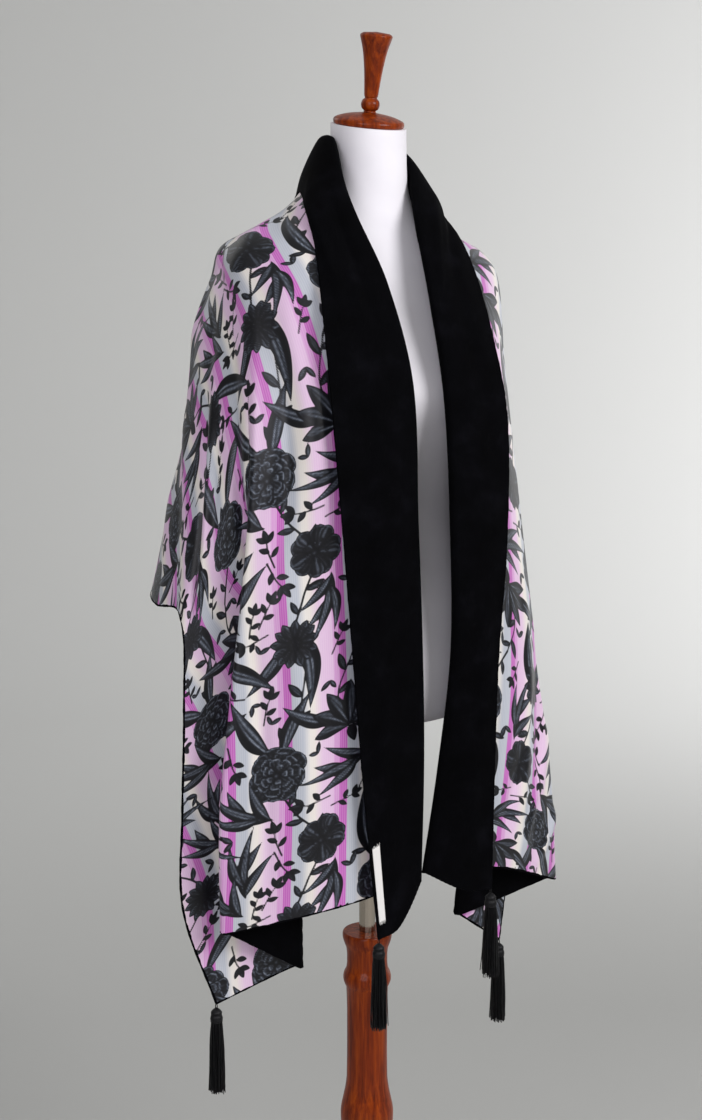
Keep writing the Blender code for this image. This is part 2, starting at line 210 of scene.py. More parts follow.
# The turned parts, each as radius and height rows in mm, with their corners eased in the script
TURNED_SIDES = 72
SHARP_FROM = math.radians(50)
CAP = ((0, 0.3), (39.5, 0.3), (41, 2), (41, 6), (38, 8.5), (26, 12.5), (12, 14.5), (8, 15), (0, 15))
FINIAL = (
    (0, 15.3), (7.5, 15.3), (6.5, 17), (10, 19.5), (11, 24), (10, 28.5), (6.5, 31), (8, 33),
    (8.5, 40), (10.5, 62), (14, 84), (18.5, 98), (18.5, 100.5), (15, 102.5), (0, 104),
)
POST = (
    (0, 42.3), (46, 42.3), (47, 48), (40, 56), (31, 70), (27, 100), (27, 150), (31, 300), (33, 340),
    (33, 352), (29.5, 368), (27, 380), (25, 398), (25, 512), (28.5, 518), (30, 525), (28.5, 532),
    (25, 538), (25, 562), (29, 572), (30.5, 578), (30.5, 583), (29, 585), (0, 585),
)
BASE = ((0, 0), (176, 0), (180, 4), (180, 16), (174, 23), (120, 31), (70, 37), (56, 42), (0, 42))

# The tassels. The head and its bindings are radius and height rows in mm from the loop's foot.
TASSEL_HEAD = (
    (0, 1.0), (1.5, 0.8), (4.5, -1.5), (6.8, -4.5), (5.6, -7), (7.0, -9.5), (7.4, -13),
    (6.4, -15.8), (0, -16.5),
)
HEAD_RIBS = 14
RIB_DEPTH = 0.035
BINDINGS = ((5.9, -7.0), (6.6, -15.2))
BINDING_RADIUS = 0.55 * MM
LOOP_LENGTH = 6.4 * MM
LOOP_RADIUS = 0.6 * MM
LOOP_HALF_WIDE = 1.1 * MM
TASSEL_LENGTH = 104 * MM
TASSEL_THREADS = 130
THREAD_RADIUS = 0.55 * MM
THREAD_STRAY = 0.9 * MM
THREAD_WAVE = 0.35 * MM
SKIRT_HIGH = -14 * MM
SKIRT_TOP = 6.0 * MM
SKIRT_FOOT = 9.6 * MM
GOLDEN_TURN = math.radians(137.508)

# The velvet's rolled edge, and the label beside the band's edge. The label's place across is
# counted in knots of the section.
ROLL_RADIUS = 1.55 * MM
LABEL_ALONG = (-962.0, -884.0)
LABEL_ACROSS = (0.05, 0.34)
LABEL_FACE = -2.6 * MM
LABEL_WALL = 0.6 * MM
FRAY_RADIUS = 0.22 * MM
FRAY_STRAY = 0.25 * MM

# The studio: the cove's sizes in mm, and its lights
COVE_FLAT = 3400
COVE_BEND = 3600
COVE_HIGH = 6500
AIR_STRENGTH = 0.62
# name, place, what it is turned to, breadth, watts, colour
LIGHTS = (
    ("key", (1.25, -2.9, 2.6), (0, 0, 1.2), 2.0, 88.0, "#fdfcff"),
    ("fill", (-2.4, -2.4, 2.1), (0, 0, 1.2), 2.4, 40.0, "#f8f6ff"),
    ("back", (-0.8, 2.8, 2.8), (0, 0, 1.2), 1.8, 9.0, "#ffffff"),
    ("wall right", (3.6, 0.9, 3.0), (5.6, 4.6, 1.0), 1.6, 200.0, "#fbfbff"),
    ("wall left", (-2.0, 3.4, 2.8), (1.6, 6.8, 2.2), 1.6, 18.0, "#fbfbff"),
)

# The photograph's frame, and where its camera stood
FRAME_HIGH = 1120.0
FRAME_MIDDLE_X = 351.0
AXIS_PIXEL_X = 368.0
FOCAL_PIXELS = 1785.0
SENSOR = 36.0
CAMERA_AZIMUTH = math.radians(-31.0)
CAMERA_DISTANCE = 2.10
CAMERA_HEIGHT = 1.40
CAMERA_PITCH = math.radians(9.5)


def linear(hex_colour):
    """An sRGB hex colour as linear red, green, blue and alpha."""
    parts = [int(hex_colour[k:k + 2], 16) / 255 for k in (1, 3, 5)]
    return (*(p / 12.92 if p <= 0.04045 else ((p + 0.055) / 1.055) ** 2.4 for p in parts), 1.0)


def node(tree, kind, settings=None, inputs=None, stops=()):
    """Adds a shader node, sets its properties, sets or links its inputs, and sets a ramp's stops."""
    made = tree.nodes.new("ShaderNode" + kind)
    for name, value in (settings or {}).items():
        setattr(made, name, value)
    for key, value in (inputs or {}).items():
        if isinstance(value, bpy.types.NodeSocket):
            tree.links.new(value, made.inputs[key])
        else:
            made.inputs[key].default_value = value
    for _ in stops[2:]:
        made.color_ramp.elements.new(0.5)
    for k, (place, colour) in enumerate(stops):
        made.color_ramp.elements[k].position = place
        made.color_ramp.elements[k].color = linear(colour)
    return made


def finish_named(name, sockets):
    """A new material, its tree and its shader, with constants set on the shader's own sockets."""
    made = bpy.data.materials.new(name)
    made.use_nodes = True
    shader = made.node_tree.nodes["Principled BSDF"]
    for socket, value in sockets.items():
        shader.inputs[socket].default_value = value
    return made, made.node_tree, shader


def between(start, end, leaving, arriving, step):
    """The points this share of the way from start to end, on a curve with these slopes there."""
    step2 = step * step
    step3 = step2 * step
    return (
        start * (2 * step3 - 3 * step2 + 1)
        + leaving * (step3 - 2 * step2 + step)
        + end * (3 * step2 - 2 * step3)
        + arriving * (step3 - step2)
    )


def spline(points, places, at):
    """The points at many places on a smooth curve that passes through them at their own places."""
    last = len(places) - 1
    span = np.clip(np.searchsorted(places, at, side="right") - 1, 0, last - 1)
    before = np.maximum(span - 1, 0)
    after = np.minimum(span + 2, last)
    length = places[span + 1] - places[span]
    widen = (slice(None),) + (None,) * (points.ndim - 1)
    leaving = (length / (places[span + 1] - places[before]))[widen]
    arriving = (length / (places[after] - places[span]))[widen]
    return between(
        points[span],
        points[span + 1],
        (points[span + 1] - points[before]) * leaving,
        (points[after] - points[span]) * arriving,
        ((at - places[span]) / length)[widen],
    )


def towards(start, end, distance):
    """A step from start to end, of this length but no more than a set share of the way."""
    whole = np.linalg.norm(end - start)
    return (end - start) * min(distance / whole, SETTLED_SHARE)


def section_knots(row):
    """The ten points that a section passes through, from the band's edge to the lower edge."""
    band, fold, chest, outer, inner, lower = (np.array(p, float) for p in row[1:7])
    closed, sag = row[7:]
    away = np.array((fold[0], fold[1], 0.0))
    away /= np.linalg.norm(away)
    inwards = np.array((0.0, 1.0, 0.0))
    outer_in = outer + closed * FOLD_GAP * inwards + (1 - closed) * towards(outer, inner, SETTLED_STEP)
    inner_in = inner + closed * FOLD_GAP * inwards + (1 - closed) * towards(inner, lower, SETTLED_STEP)
    band_middle = 0.55 * band + 0.45 * fold + BAND_RISE * away - (0.0, 0.0, sag)
    return np.array((
        band, band_middle, fold, fold - FOLD_GAP * away, chest, outer, outer_in, inner, inner_in, lower,
    ))


DRAPE_PLACES = np.array([row[0] for row in DRAPE], float)
DRAPE_KNOTS = np.array([section_knots(row) for row in DRAPE])


def sections(alongs):
    """Fine sections at these places along the fold: their points in mm, and each point's distance
    across the cloth from the fold, below zero on the band."""
    knots = spline(DRAPE_KNOTS, DRAPE_PLACES, alongs)
    chords = np.sqrt(np.linalg.norm(np.diff(knots, axis=1), axis=2))
    places = np.concatenate((np.zeros((len(alongs), 1)), np.cumsum(chords, axis=1)), axis=1)
    counts = np.linspace(0, LAST_KNOT, LAST_KNOT * SAMPLES_PER_SPAN + 1)
    span = np.minimum(counts.astype(int), LAST_KNOT - 1)
    before = np.maximum(span - 1, 0)
    after = np.minimum(span + 2, LAST_KNOT)
    length = places[:, span + 1] - places[:, span]
    leaving = (length / (places[:, span + 1] - places[:, before]))[..., None]
    arriving = (length / (places[:, after] - places[:, span]))[..., None]
    points = between(
        knots[:, span],
        knots[:, span + 1],
        (knots[:, span + 1] - knots[:, before]) * leaving,
        (knots[:, after] - knots[:, span]) * arriving,
        (counts - span)[None, :, None],
    )
    travelled = np.cumsum(np.linalg.norm(np.diff(points, axis=1), axis=2), axis=1)
    across = np.concatenate((np.zeros((len(alongs), 1)), travelled), axis=1)
    return points, across - across[:, [int(FOLD_KNOT * SAMPLES_PER_SPAN)]]


def crease_height(alongs, across):
    """The soft creases' height in mm over the cut."""
    height = np.zeros_like(across)
    for along_a, across_a, along_b, across_b, half_width, crest in CREASES:
        run = np.array((along_b - along_a, across_b - across_a), float)
        length = np.linalg.norm(run)
        run /= length
        off_along = alongs[:, None] - along_a
        off_across = across - across_a
        reached = (off_along * run[0] + off_across * run[1]) / length
        beside = off_along * run[1] - off_across * run[0]
        fading = np.sin(np.pi * np.clip(reached, 0, 1)) ** CREASE_FADE
        height += crest * fading * np.exp(-((beside / half_width) ** 2))
    return height


def unit(vectors):
    """The same directions, one long."""
    return vectors / np.maximum(np.linalg.norm(vectors, axis=-1, keepdims=True), 1e-9)


def grid_normals(points):
    """The directions square to a grid of points, on the printed side of the cloth."""
    by_along = np.gradient(points, axis=0)
    by_across = np.gradient(points, axis=1)
    return unit(np.cross(by_along, by_across))


def cloth_grid(along_ends, shares, step):
    """The middle surface over a stretch, as a grid of points in metres with normals on the printed
    side, and the cut's own coordinates there. shares are how far across the body, from the fold at
    0 to the lower edge at 1, and below zero on the band."""
    rows = int(abs(along_ends[1] - along_ends[0]) / step) + 2
    alongs = np.linspace(*along_ends, rows)
    more = alongs[1] - alongs[0]
    alongs = np.concatenate(((alongs[0] - more,), alongs, (alongs[-1] + more,)))
    rows += 2
    points, across = sections(alongs)
    widest = np.abs(shares[1] - shares[0]) * (across[:, -1].max() if shares[1] > 0 else BAND_WIDTH / MM)
    columns = int(widest / step) + 2
    share = np.linspace(*shares, columns)
    laid = np.empty((rows, columns, 3))
    cut = np.empty((rows, columns, 2))
    for k in range(rows):
        wanted = np.where(share < 0, -share * across[k, 0], share * across[k, -1])
        for axis in range(3):
            laid[k, :, axis] = np.interp(wanted, across[k], points[k, :, axis])
        cut[k, :, 0] = wanted
        cut[k, :, 1] = alongs[k]
    laid += grid_normals(laid) * crease_height(alongs, cut[..., 0])[..., None]
    return laid[1:-1] * MM, grid_normals(laid)[1:-1], cut[1:-1] * MM


def grid_piece(name, points, finish):
    """A grid mesh from the editor's own grid, with its points laid on the given ones."""
    rows, columns = points.shape[:2]
    bm = bmesh.new()
    bmesh.ops.create_grid(bm, x_segments=rows - 1, y_segments=columns - 1, size=1.0)
    mesh = bpy.data.meshes.new(name)
    bm.to_mesh(mesh)
    bm.free()
    flat = np.empty(len(mesh.vertices) * 3, np.float32)
    mesh.vertices.foreach_get("co", flat)
    flat = flat.reshape(-1, 3)
    row = np.rint((flat[:, 0] + 1) / 2 * (rows - 1)).astype(int)
    column = np.rint((flat[:, 1] + 1) / 2 * (columns - 1)).astype(int)
    mesh.vertices.foreach_set("co", points[row, column].astype(np.float32).ravel())
    mesh.update()
    return shown(name, mesh, finish), (row, column)


def shown(name, mesh, finish):
    """An object for a finished mesh, smooth, with its one material."""
    mesh.materials.append(finish)
    mesh.shade_smooth()
    piece = bpy.data.objects.new(name, mesh)
    bpy.context.scene.collection.objects.link(piece)
    return piece


def add_grid(bm, points):
    """Adds one of the editor's grids to a mesh that holds several, laid on the given points."""
    rows, columns = points.shape[:2]
    for vert in bmesh.ops.create_grid(bm, x_segments=rows - 1, y_segments=columns - 1, size=1.0)["verts"]:
        row = round((vert.co.x + 1) / 2 * (rows - 1))
        column = round((vert.co.y + 1) / 2 * (columns - 1))
        vert.co = points[row, column]


def from_bmesh(name, bm, finish):
    """A piece from a mesh in the making: seams closed, faces outwards."""
    bmesh.ops.remove_doubles(bm, verts=bm.verts[:], dist=0.01 * MM)
    bmesh.ops.recalc_face_normals(bm, faces=bm.faces[:])
    mesh = bpy.data.meshes.new(name)
    bm.to_mesh(mesh)
    bm.free()
    return shown(name, mesh, finish)


def spun(bm, profile, sides):
    """Spins radius and height rows, in mm, round the Z axis, and gives back the new points."""
    before = len(bm.verts)
    verts = [bm.verts.new((radius * MM, 0, height * MM)) for radius, height in profile]
    edges = [bm.edges.new(pair) for pair in zip(verts, verts[1:])]
    bmesh.ops.spin(
        bm, geom=verts + edges, cent=(0, 0, 0), axis=(0, 0, 1), angle=2 * math.pi, steps=sides, use_merge=True
    )
    bm.verts.ensure_lookup_table()
    return bm.verts[before:]


def turned(name, profile, finish, place=None):
    """A solid turned round its own axis, and then set in its place."""
    bm = bmesh.new()
    spun(bm, profile, TURNED_SIDES)
    if place is not None:
        bmesh.ops.transform(bm, matrix=place, verts=bm.verts[:])
    piece = from_bmesh(name, bm, finish)
    piece.data.set_sharp_from_angle(angle=SHARP_FROM)
    return piece


def eased(profile, rounds=2):
    """The profile with its corners cut back a few times, so that turned shapes read as round."""
    points = np.array(profile, float)
    for _ in range(rounds):
        starts, ends = points[:-1], points[1:]
        on_axis = starts[:, [0]] * ends[:, [0]] == 0
        near = np.where(on_axis, starts, 0.75 * starts + 0.25 * ends)
        far = np.where(on_axis, ends, 0.25 * starts + 0.75 * ends)
        cut_back = np.stack((near, far), axis=1).reshape(-1, 2)[1:-1]
        points = np.concatenate(([points[0]], cut_back, [points[-1]]))
    return points


def rings(path, beside, radii, sides):
    """Rings of points round a path, a row for each of its points. beside points away from it."""
    ahead = unit(np.gradient(path, axis=0))
    first = unit(beside - (beside * ahead).sum(axis=1)[:, None] * ahead)
    second = np.cross(ahead, first)
    turns = np.linspace(0, 2 * math.pi, sides + 1)[None, :, None]
    radii = np.broadcast_to(radii, (len(path),))[:, None, None]
    return path[:, None] + radii * (first[:, None] * np.cos(turns) + second[:, None] * np.sin(turns))


def point_values(piece, name, values):
    """Keeps one number, or one vector, for each point of the mesh."""
    kind = "FLOAT" if values.ndim == 1 else "FLOAT_VECTOR"
    field = "value" if values.ndim == 1 else "vector"
    made = piece.data.attributes.new(name, kind, "POINT")
    made.data.foreach_set(field, values.astype(np.float32).ravel())


def ride_for(piece, cad_node):
    """The piece rides the stole's one body and is seen in place of this solid."""
    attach(piece, BODY)
    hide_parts(cad_node)


# A Wave texture at this scale has one band to the metre.
WAVE_AT_1M = math.pi / 10

# The print's stripes run along the cut, each colour from its share of the repeat away from the
# fold. Fine pale lines run with them. A motif's edge fades over INK_EDGE, in mm, each way.
STRIPES_FROM = 37.5 * MM
STRIPES_REPEAT = 65.0 * MM
LINES_REPEAT = 2.4 * MM
LINES_LIGHT = 0.08
INK_EDGE = 0.5
STROKE_WIDE = 3.85 * MM
STRIPES = (
    (0.00, "#c25cb9"),
    (0.11, "#c25cb9"),
    (0.125, "#d59ad0"),
    (0.21, "#d59ad0"),
    (0.225, "#dfb9db"),
    (0.44, "#e2c2de"),
    (0.60, "#e8e0d8"),
    (0.68, "#e6e1da"),
    (0.80, "#b7bcc6"),
    (0.975, "#b9bec7"),
    (0.99, "#c25cb9"),
)

# The print: dark flowers, leaves and vines in one half-drop repeat, drawn here in mm on a fine field
REPEAT_WIDE = 460.0
REPEAT_LONG = 340.0
DROP = REPEAT_LONG / 2
COLUMN_WIDE = REPEAT_WIDE / 2
FIELD_STEP = 0.8
SHAPE_RIM = 1.3
FAR_OUT = 9.0
HEADINGS = 24


class PrintField:
    """The repeat as two fields: how far each spot is out of the drawn shapes, and its tone."""

    def __init__(self):
        self.wide = int(round(REPEAT_WIDE / FIELD_STEP))
        self.long = int(round(REPEAT_LONG / FIELD_STEP))
        self.out = np.full((self.wide, self.long), FAR_OUT)
        self.tone = np.zeros((self.wide, self.long))

    def near(self, x, y, reach, heading):
        """The cells round a spot, over the repeat's joins, and how far they lie along and across
        a heading from it."""
        count = int(2 * reach / FIELD_STEP) + 2
        i = int((x - reach) / FIELD_STEP) + np.arange(count)
        j = int((y - reach) / FIELD_STEP) + np.arange(count)
        off_x = ((i + 0.5) * FIELD_STEP - x)[:, None]
        off_y = ((j + 0.5) * FIELD_STEP - y)[None, :]
        cosine, sine = math.cos(heading), math.sin(heading)
        cells = np.ix_(i % self.wide, j % self.long)
        return cells, off_x * cosine + off_y * sine, off_y * cosine - off_x * sine

    def lay(self, cells, out, tone):
        """Lays a shape over what is drawn, darkened along its rim so that it stands off."""
        rim = np.clip(np.abs(out) / SHAPE_RIM, 0, 1)
        self.tone[cells] = np.where(out < 0, tone, self.tone[cells]) * rim
        self.out[cells] = np.minimum(self.out[cells], out)

    def petal(
        self, x, y, heading, length, width,
        bend=0.0, belly=1.0, light=0.7, side=0.3, vein=0.0, lip=0.0, point=0.8,
    ):
        """A leaf or petal that widens towards its tip as belly grows, with fine streaks of light
        beside its middle, and a lit lip along the far half of its edge."""
        for column in (0, 1):
            spot = x + column * COLUMN_WIDE, y + column * DROP
            cells, u, v = self.near(*spot, length * (1.05 + abs(bend)), heading)
            t = np.clip(u / length, 0, 1)
            v = v - bend * length * t * t
            half = width / 2 * np.sin(np.pi * t ** belly) ** point
            out = np.maximum(np.abs(v) - half, np.maximum(-u, u - length))
            share = v / np.maximum(half, 0.2)
            glow = np.exp(-(((share - side) / 0.50) ** 2)) * np.clip(1.5 * np.sin(np.pi * t), 0, 1)
            streaks = 0.62 + 0.38 * np.cos(share * 10.0 + t * 3.0)
            midrib = vein * np.exp(-((v / 1.0) ** 2)) * np.clip(1.6 * (1 - t), 0, 1)
            lit_lip = lip * np.exp(-(((out + 2.0) / 1.1) ** 2)) * np.clip(2.4 * t - 0.9, 0, 1)
            self.lay(cells, out, np.clip(light * glow * streaks + midrib + lit_lip, 0, 1))

    def stem(self, points, thick):
        """A smooth stem through a few points, thinner towards its end."""
        points = np.array(points, float)
        places = np.arange(len(points), dtype=float)
        line = spline(points, places, np.linspace(0, len(points) - 1, 10 * len(points)))
        for column in (0, 1):
            shift = np.array((column * COLUMN_WIDE, column * DROP))
            for k, (start, end) in enumerate(zip(line + shift, line[1:] + shift)):
                run = end - start
                length = math.hypot(*run)
                cells, u, v = self.near(*start, length + thick + 3, math.atan2(run[1], run[0]))
                slim = thick / 2 * (1 - 0.25 * k / len(line))
                out = np.hypot(u - np.clip(u, 0, length), v) - slim
                self.out[cells] = np.minimum(self.out[cells], out)
                self.tone[cells] = np.where(out < 0, 0.10, self.tone[cells])

    def disc(self, x, y, radius, light):
        """A round eye or seed, lit on one side."""
        for column in (0, 1):
            cells, u, v = self.near(x + column * COLUMN_WIDE, y + column * DROP, radius + 4, 0.0)
            reach = np.hypot(u, v)
            glow = np.clip(1 - np.hypot(u - radius * 0.3, v + radius * 0.3) / (0.8 * radius), 0, 1)
            self.lay(cells, reach - radius, light * glow)

    def fill(self, kind, count, size, spread):
        """Draws a motif again and again, each time over the barest spot and along its barest way."""
        across = np.minimum(np.arange(self.wide), self.wide - np.arange(self.wide)) * FIELD_STEP
        along = np.minimum(np.arange(self.long), self.long - np.arange(self.long)) * FIELD_STEP
        soft = np.exp(-(across[:, None] ** 2 + along[None, :] ** 2) / (2 * spread ** 2))
        soft = np.fft.rfft2(soft / soft.sum())
        ways = np.arange(HEADINGS) * 2 * math.pi / HEADINGS
        for k in range(count):
            cover = np.fft.irfft2(np.fft.rfft2((self.out < 0).astype(float)) * soft, self.out.shape)
            i, j = np.unravel_index(np.argmin(cover), cover.shape)
            reach = np.linspace(-0.5, 0.5, 9) * size / FIELD_STEP
            by_way = np.zeros(HEADINGS)
            for step in reach:
                to_i = np.rint(i + step * np.cos(ways)).astype(int) % self.wide
                to_j = np.rint(j + step * np.sin(ways)).astype(int) % self.long
                by_way += cover[to_i, to_j]
            turn = ways[np.argmin(by_way)]
            as_drawn = size * (1 + 0.12 * math.sin(3.3 * k))
            kind(self, (i + 0.5) * FIELD_STEP, (j + 0.5) * FIELD_STEP, turn, as_drawn)


def peony(field, x, y, turn, size):
    """A full round flower whose broad petals overlap in rings."""
    for ring, (count, reach) in enumerate(((9, 1.0), (8, 0.79), (7, 0.58), (5, 0.38))):
        for k in range(count):
            heading = turn + 2 * math.pi * (k + 0.5 * ring) / count + 0.10 * math.sin(5 * k + ring)
            length = size * reach * (1 + 0.05 * math.cos(3 * k + turn))
            field.petal(
                x, y, heading, length, length * 0.74,
                bend=0.05, belly=2.3, light=0.55, side=0.1, lip=0.9, point=0.6,
            )
    field.disc(x, y, size * 0.13, 0.7)


def daisy(field, x, y, turn, size):
    """An open flower of long narrow petals round a dotted eye."""
    count = 13
    for k in range(count):
        heading = turn + 2 * math.pi * k / count
        length = size * (0.94 + 0.08 * math.sin(3.1 * k + turn))
        field.petal(
            x, y, heading, length, size * 0.36,
            bend=0.04 * math.sin(2 * k), belly=1.7, light=0.6, side=0.2, lip=0.5,
        )
    field.disc(x, y, size * 0.27, 0.15)
    for k in range(7):
        heading = turn + 2 * math.pi * k / 7
        field.disc(x + size * 0.15 * math.cos(heading), y + size * 0.15 * math.sin(heading), 1.7, 1.0)


def dog_rose(field, x, y, turn, size):
    """Five heart-shaped petals with fine threads from the eye."""
    for k in range(5):
        heading = turn + 2 * math.pi * k / 5
        for lean in (-0.26, 0.26):
            field.petal(
                x, y, heading + lean, size, size * 0.66,
                bend=-0.1 * lean, belly=2.0, light=0.7, side=-0.9 * lean, lip=0.6, point=0.6,
            )
    field.disc(x, y, size * 0.16, 0.5)
    for k in range(11):
        heading = turn + 2 * math.pi * (k + 0.5) / 11
        reach = size * (0.34 if k % 2 else 0.44)
        field.disc(x + reach * math.cos(heading), y + reach * math.sin(heading), 1.4, 1.0)


def lily(field, x, y, turn, size):
    """Six pointed petals that curl back, seen from the side of the mouth."""
    for open_by, reach in ((1.15, 0.80), (0.66, 0.95), (0.24, 1.0)):
        for lean in (-open_by, open_by):
            field.petal(
                x, y, turn + lean, size * reach, size * 0.32,
                bend=0.20 * lean, belly=1.2, light=0.75, side=0.25, vein=0.5, lip=0.3, point=0.9,
            )
    field.petal(x, y, turn + math.pi, size * 0.40, size * 0.24, belly=0.7, light=0.4)


# where on the stalk, lean, length, bend
PLUME_LEAVES = (
    (0.34, 0.30, 0.46, 0.50),
    (0.0, -0.05, 1.0, 0.42),
    (0.20, -0.50, 0.62, 0.52),
    (0.04, 0.42, 0.60, 0.50),
)


def plume(field, x, y, turn, size):
    """Long leaves that part one after another from a bent stalk and sweep to one side."""
    ahead = np.array((math.cos(turn), math.sin(turn)))
    aside = np.array((-ahead[1], ahead[0]))
    base = np.array((x, y)) - 0.5 * size * ahead
    for share, lean, reach, bend in PLUME_LEAVES:
        spot = base + size * (share * ahead + 0.42 * share ** 2 * aside)
        field.petal(
            *spot, turn + lean, size * reach, size * 0.16,
            bend=bend, belly=0.8, light=0.9, side=0.3, vein=0.5, lip=0.4, point=1.1,
        )


def broad_leaf(field, x, y, turn, size):
    """A long bent leaf with a lit midrib."""
    field.petal(
        x, y, turn, size, size * 0.26,
        bend=0.36, belly=0.9, light=0.9, side=0.4, vein=0.8, lip=0.4, point=1.0,
    )


def leaf_pair(field, x, y, turn, size):
    """Two small leaves from one spot, for the last bare places."""
    look = {"belly": 0.95, "light": 0.6, "vein": 0.5}
    field.petal(x, y, turn + 0.5, size, size * 0.42, bend=0.1, side=0.4, **look)
    field.petal(x, y, turn - 0.7, size * 0.85, size * 0.38, bend=-0.1, side=-0.4, **look)


# where on the stem, lean, length
SPRIG_LEAVES = (
    (0.30, 1.0, 0.32),
    (0.46, -1.0, 0.32),
    (0.72, 0.85, 0.34),
    (0.74, -0.85, 0.34),
    (0.74, 0, 0.38),
)


def sprig(field, x, y, turn, size):
    """A short stem of small leaves with three at its tip."""
    ahead = np.array((math.cos(turn), math.sin(turn)))
    start = np.array((x, y)) - ahead * size / 2
    field.stem((tuple(start), (x + 1.5, y - 1.5), tuple(start + ahead * size * 0.8)), 2.2)
    for share, lean, reach in SPRIG_LEAVES:
        spot = start + ahead * size * share
        field.petal(
            *spot, turn + lean, size * reach, size * 0.16, bend=-0.1 * lean, belly=0.9, light=0.5
        )


def vine(field, points, leaf, every=27.0, thick=2.8):
    """A long stem with pointed leaves on alternate sides."""
    field.stem(points, thick)
    points = np.array(points, float)
    places = np.arange(len(points), dtype=float)
    line = spline(points, places, np.linspace(0, len(points) - 1, 160))
    gone = np.concatenate(((0.0,), np.cumsum(np.linalg.norm(np.diff(line, axis=0), axis=1))))
    for k in range(int(gone[-1] / every)):
        at = (k + 0.6) * every
        spot = np.array([np.interp(at, gone, line[:, axis]) for axis in (0, 1)])
        ahead = np.array([np.interp(at + 2, gone, line[:, axis]) for axis in (0, 1)])
        heading = math.atan2(*(ahead - spot)[::-1])
        lean = 0.95 if k % 2 else -0.95
        length = leaf * (0.85 + 0.3 * math.sin(1.7 * k) ** 2)
        field.petal(
            *spot, heading + lean, length, length * 0.40,
            bend=-0.12 * lean, belly=0.9, light=0.6, side=0.3, vein=0.3,
        )


# Each motif of the repeat in its order of drawing: kind, across, along, heading in degrees, size
MOTIFS = (
    (broad_leaf, 66, 92, 62, 86),
    (broad_leaf, 44, 88, 118, 74),
    (broad_leaf, 150, 42, -112, 84),
    (broad_leaf, 168, 40, -66, 70),
    (broad_leaf, 190, 250, 40, 84),
    (broad_leaf, 178, 246, 96, 72),
    (broad_leaf, 118, 268, 12, 66),
    (broad_leaf, 30, 200, 190, 82),
    (peony, 52, 62, 20, 35),
    (daisy, 160, 34, 10, 30),
    (dog_rose, 132, 132, 40, 30),
    (peony, 184, 226, 75, 34),
    (daisy, 40, 188, 0, 28),
    (lily, 98, 258, 75, 54),
)
VINES = (
    (((95, 0), (52, 62), (84, 122), (40, 188), (62, 238), (98, 262), (112, 300), (95, 340)), 21),
    (((150, 0), (162, 40), (148, 84), (132, 132), (168, 180), (184, 228), (160, 290), (150, 340)), 21),
)


def draw_print():
    """The repeat: vines, then the larger motifs, then smaller ones wherever it is still bare."""
    field = PrintField()
    for points, leaf in VINES:
        vine(field, points, leaf)
    for kind, x, y, degrees, size in MOTIFS:
        kind(field, x, y, math.radians(degrees), size)
    field.fill(plume, 6, 88.0, 18.0)
    field.fill(sprig, 14, 40.0, 10.0)
    field.fill(leaf_pair, 12, 16.0, 8.0)
    return field


def sampled(field, values, cut):
    """The field's values at places on the cut, read between its points."""
    x = (cut[:, 0] / MM / FIELD_STEP - 0.5) % field.wide
    y = (cut[:, 1] / MM / FIELD_STEP - 0.5) % field.long
    x0 = x.astype(int)
    y0 = y.astype(int)
    fx = x - x0
    fy = y - y0
    x1 = (x0 + 1) % field.wide
    y1 = (y0 + 1) % field.long
    low = values[x0, y0] * (1 - fx) + values[x1, y0] * fx
    high = values[x0, y1] * (1 - fx) + values[x1, y1] * fx
    return low * (1 - fy) + high * fy


